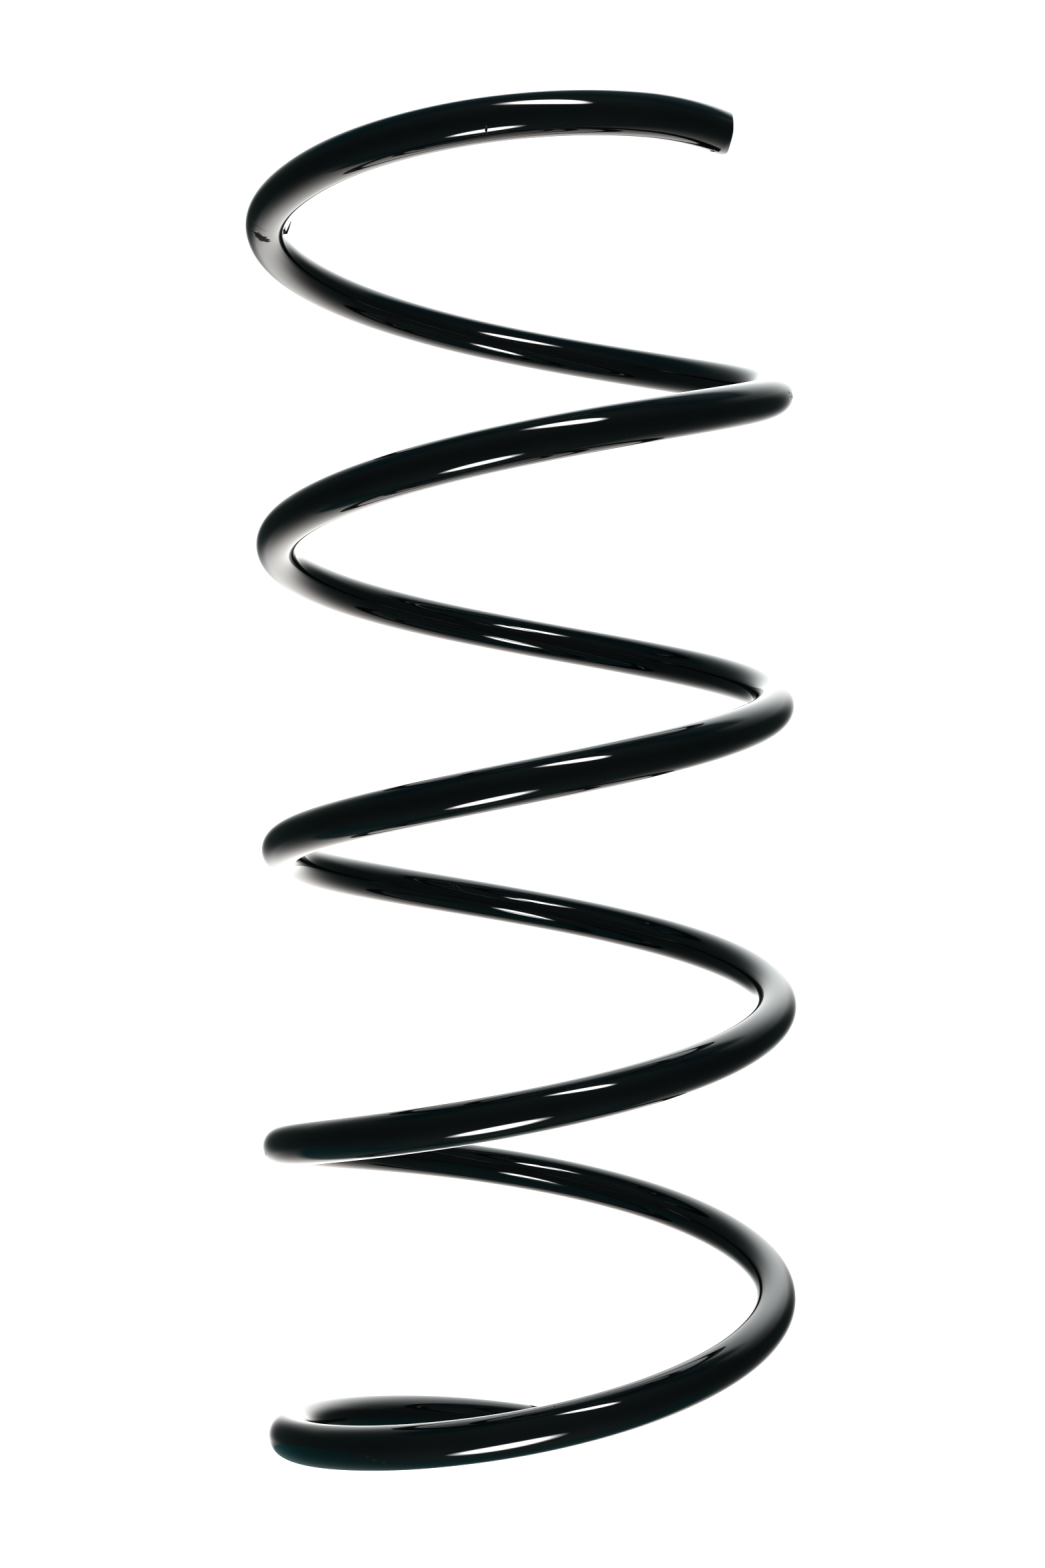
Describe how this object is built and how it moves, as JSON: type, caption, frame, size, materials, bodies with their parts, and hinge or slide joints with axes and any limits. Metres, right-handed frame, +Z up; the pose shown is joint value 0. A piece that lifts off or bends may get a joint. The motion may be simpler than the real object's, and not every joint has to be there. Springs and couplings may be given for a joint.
{
  "type": "suspension coil spring",
  "caption": "Open coil compression spring of round coated bar for a car's suspension strut, wound right-handed with both ends cut square; it squeezes along its axis.",
  "frame": {"origin": "centre of the lower seat: on the coil's axis, at the height of the lowest point of the bar", "axes": "+Z up the coil's axis towards the upper seat; +X and +Y across it, with the lower cut end 276 degrees back from +X"},
  "size_m": [0.1622, 0.1622, 0.4158],
  "materials": {
    "coated_bar": "deep gloss black powder coat over spring steel"
  },
  "bodies": {
    "lower_end": {"wire_01": "coated_bar", "wire_02": "coated_bar"},
    "length_03": {"wire_03": "coated_bar"},
    "length_04": {"wire_04": "coated_bar"},
    "length_05": {"wire_05": "coated_bar"},
    "length_06": {"wire_06": "coated_bar"},
    "length_07": {"wire_07": "coated_bar"},
    "length_08": {"wire_08": "coated_bar"},
    "length_09": {"wire_09": "coated_bar"},
    "length_10": {"wire_10": "coated_bar"},
    "length_11": {"wire_11": "coated_bar"},
    "length_12": {"wire_12": "coated_bar"},
    "length_13": {"wire_13": "coated_bar"},
    "length_14": {"wire_14": "coated_bar"},
    "length_15": {"wire_15": "coated_bar"},
    "length_16": {"wire_16": "coated_bar"},
    "length_17": {"wire_17": "coated_bar"},
    "length_18": {"wire_18": "coated_bar"},
    "length_19": {"wire_19": "coated_bar"},
    "length_20": {"wire_20": "coated_bar"},
    "length_21": {"wire_21": "coated_bar"},
    "length_22": {"wire_22": "coated_bar"},
    "length_23": {"wire_23": "coated_bar"},
    "length_24": {"wire_24": "coated_bar"},
    "length_25": {"wire_25": "coated_bar"},
    "length_26": {"wire_26": "coated_bar"},
    "upper_end": {"wire_27": "coated_bar", "wire_28": "coated_bar"}
  },
  "joints": [
    {"name": "twist_03", "type": "hinge", "parent": "lower_end", "child": "length_03", "pos_m": [-0.06867, -0.03015, 0.03325], "axis": [-0.3957, 0.9013, -0.1761], "range_deg": [0, 0.7949], "stiffness_Nm_per_rad": 13000},
    {"name": "twist_04", "type": "hinge", "parent": "length_03", "child": "length_04", "pos_m": [-0.0084, -0.0744, 0.04748], "axis": [-0.9826, 0.1106, -0.1493], "range_deg": [0, 1.82], "stiffness_Nm_per_rad": 8530},
    {"name": "twist_05", "type": "hinge", "parent": "length_04", "child": "length_05", "pos_m": [0.06021, -0.04472, 0.06198], "axis": [-0.5862, -0.7894, -0.1822], "range_deg": [0, 3.25], "stiffness_Nm_per_rad": 4780},
    {"name": "twist_06", "type": "hinge", "parent": "length_05", "child": "length_06", "pos_m": [0.06878, 0.02955, 0.07652], "axis": [0.3904, -0.9083, -0.1502], "range_deg": [0, 4.88], "stiffness_Nm_per_rad": 3180},
    {"name": "twist_07", "type": "hinge", "parent": "length_06", "child": "length_07", "pos_m": [0.00901, 0.07446, 0.09112], "axis": [0.9759, -0.1181, -0.1835], "range_deg": [0, 6.38], "stiffness_Nm_per_rad": 2440},
    {"name": "twist_08", "type": "hinge", "parent": "length_07", "child": "length_08", "pos_m": [-0.05975, 0.0451, 0.10577], "axis": [0.5955, 0.789, -0.1513], "range_deg": [0, 7.56], "stiffness_Nm_per_rad": 2050},
    {"name": "twist_09", "type": "hinge", "parent": "length_08", "child": "length_09", "pos_m": [-0.06914, -0.02906, 0.12047], "axis": [-0.3808, 0.906, -0.1848], "range_deg": [0, 7.36], "stiffness_Nm_per_rad": 2110},
    {"name": "twist_10", "type": "hinge", "parent": "length_09", "child": "length_10", "pos_m": [-0.00957, -0.07424, 0.13522], "axis": [-0.9802, 0.1263, -0.1524], "range_deg": [0, 7.2], "stiffness_Nm_per_rad": 2160},
    {"name": "twist_11", "type": "hinge", "parent": "length_10", "child": "length_11", "pos_m": [0.0595, -0.04566, 0.15003], "axis": [-0.5981, -0.7795, -0.1861], "range_deg": [0, 7.22], "stiffness_Nm_per_rad": 2150},
    {"name": "twist_12", "type": "hinge", "parent": "length_11", "child": "length_12", "pos_m": [0.06923, 0.02847, 0.16489], "axis": [0.3759, -0.9139, -0.1534], "range_deg": [0, 7.33], "stiffness_Nm_per_rad": 2120},
    {"name": "twist_13", "type": "hinge", "parent": "length_12", "child": "length_13", "pos_m": [0.01018, 0.07431, 0.17981], "axis": [0.9732, -0.1333, -0.1873], "range_deg": [0, 7.41], "stiffness_Nm_per_rad": 2100},
    {"name": "twist_14", "type": "hinge", "parent": "length_13", "child": "length_14", "pos_m": [-0.05903, 0.04603, 0.19478], "axis": [0.6075, 0.7791, -0.1545], "range_deg": [0, 7.42], "stiffness_Nm_per_rad": 2090},
    {"name": "compress", "type": "hinge", "parent": "length_14", "child": "length_15", "pos_m": [-0.06959, -0.02797, 0.2098], "axis": [-0.3663, 0.9112, -0.1886], "range_deg": [0, 7.4], "stiffness_Nm_per_rad": 2100},
    {"name": "twist_16", "type": "hinge", "parent": "length_15", "child": "length_16", "pos_m": [-0.01074, -0.07408, 0.22487], "axis": [-0.9776, 0.1416, -0.1556], "range_deg": [0, 7.39], "stiffness_Nm_per_rad": 2100},
    {"name": "twist_17", "type": "hinge", "parent": "length_16", "child": "length_17", "pos_m": [0.05878, -0.04659, 0.24], "axis": [-0.6098, -0.7694, -0.1899], "range_deg": [0, 7.36], "stiffness_Nm_per_rad": 2110},
    {"name": "twist_18", "type": "hinge", "parent": "length_17", "child": "length_18", "pos_m": [0.06966, 0.02737, 0.25518], "axis": [0.3613, -0.9192, -0.1566], "range_deg": [0, 7.29], "stiffness_Nm_per_rad": 2130},
    {"name": "twist_19", "type": "hinge", "parent": "length_18", "child": "length_19", "pos_m": [0.01134, 0.07414, 0.27041], "axis": [0.9703, -0.1485, -0.1912], "range_deg": [0, 7.22], "stiffness_Nm_per_rad": 2150},
    {"name": "twist_20", "type": "hinge", "parent": "length_19", "child": "length_20", "pos_m": [-0.05829, 0.04695, 0.2857], "axis": [0.6193, 0.7691, -0.1577], "range_deg": [0, 7.27], "stiffness_Nm_per_rad": 2140},
    {"name": "twist_21", "type": "hinge", "parent": "length_20", "child": "length_21", "pos_m": [-0.07002, -0.02688, 0.30104], "axis": [-0.3517, 0.9161, -0.1925], "range_deg": [0, 7.44], "stiffness_Nm_per_rad": 2090},
    {"name": "twist_22", "type": "hinge", "parent": "length_21", "child": "length_22", "pos_m": [-0.01189, -0.07388, 0.31635], "axis": [-0.9751, 0.1566, -0.1571], "range_deg": [0, 7.57], "stiffness_Nm_per_rad": 2050},
    {"name": "twist_23", "type": "hinge", "parent": "length_22", "child": "length_23", "pos_m": [0.05804, -0.0475, 0.33191], "axis": [-0.6208, -0.7585, -0.198], "range_deg": [0, 6.26], "stiffness_Nm_per_rad": 2480},
    {"name": "twist_24", "type": "hinge", "parent": "length_23", "child": "length_24", "pos_m": [0.07013, 0.02633, 0.34895], "axis": [0.3461, -0.919, -0.1891], "range_deg": [0, 4.66], "stiffness_Nm_per_rad": 3330},
    {"name": "twist_25", "type": "hinge", "parent": "length_24", "child": "length_25", "pos_m": [0.01251, 0.07395, 0.3667], "axis": [0.9631, -0.1629, -0.2142], "range_deg": [0, 3.03], "stiffness_Nm_per_rad": 5120},
    {"name": "twist_26", "type": "hinge", "parent": "length_25", "child": "length_26", "pos_m": [-0.05746, 0.04797, 0.38257], "axis": [0.6365, 0.7569, -0.1484], "range_deg": [0, 1.71], "stiffness_Nm_per_rad": 8000},
    {"name": "twist_upper_end", "type": "hinge", "parent": "length_26", "child": "upper_end", "pos_m": [-0.07043, -0.02577, 0.39544], "axis": [-0.34, 0.929, -0.146], "range_deg": [0, 0.7852], "stiffness_Nm_per_rad": 8000}
  ],
  "couplings": [
    {"joint": "twist_03", "follows": "compress", "ratio": 0.1074},
    {"joint": "twist_04", "follows": "compress", "ratio": 0.2463},
    {"joint": "twist_05", "follows": "compress", "ratio": 0.439},
    {"joint": "twist_06", "follows": "compress", "ratio": 0.66},
    {"joint": "twist_07", "follows": "compress", "ratio": 0.8617},
    {"joint": "twist_08", "follows": "compress", "ratio": 1.022},
    {"joint": "twist_09", "follows": "compress", "ratio": 0.9947},
    {"joint": "twist_10", "follows": "compress", "ratio": 0.9734},
    {"joint": "twist_11", "follows": "compress", "ratio": 0.9751},
    {"joint": "twist_12", "follows": "compress", "ratio": 0.9904},
    {"joint": "twist_13", "follows": "compress", "ratio": 1.0014},
    {"joint": "twist_14", "follows": "compress", "ratio": 1.0024},
    {"joint": "twist_16", "follows": "compress", "ratio": 0.9984},
    {"joint": "twist_17", "follows": "compress", "ratio": 0.9946},
    {"joint": "twist_18", "follows": "compress", "ratio": 0.9847},
    {"joint": "twist_19", "follows": "compress", "ratio": 0.9755},
    {"joint": "twist_20", "follows": "compress", "ratio": 0.9818},
    {"joint": "twist_21", "follows": "compress", "ratio": 1.0053},
    {"joint": "twist_22", "follows": "compress", "ratio": 1.0235},
    {"joint": "twist_23", "follows": "compress", "ratio": 0.8457},
    {"joint": "twist_24", "follows": "compress", "ratio": 0.6299},
    {"joint": "twist_25", "follows": "compress", "ratio": 0.4098},
    {"joint": "twist_26", "follows": "compress", "ratio": 0.2314},
    {"joint": "twist_upper_end", "follows": "compress", "ratio": 0.1061}
  ]
}
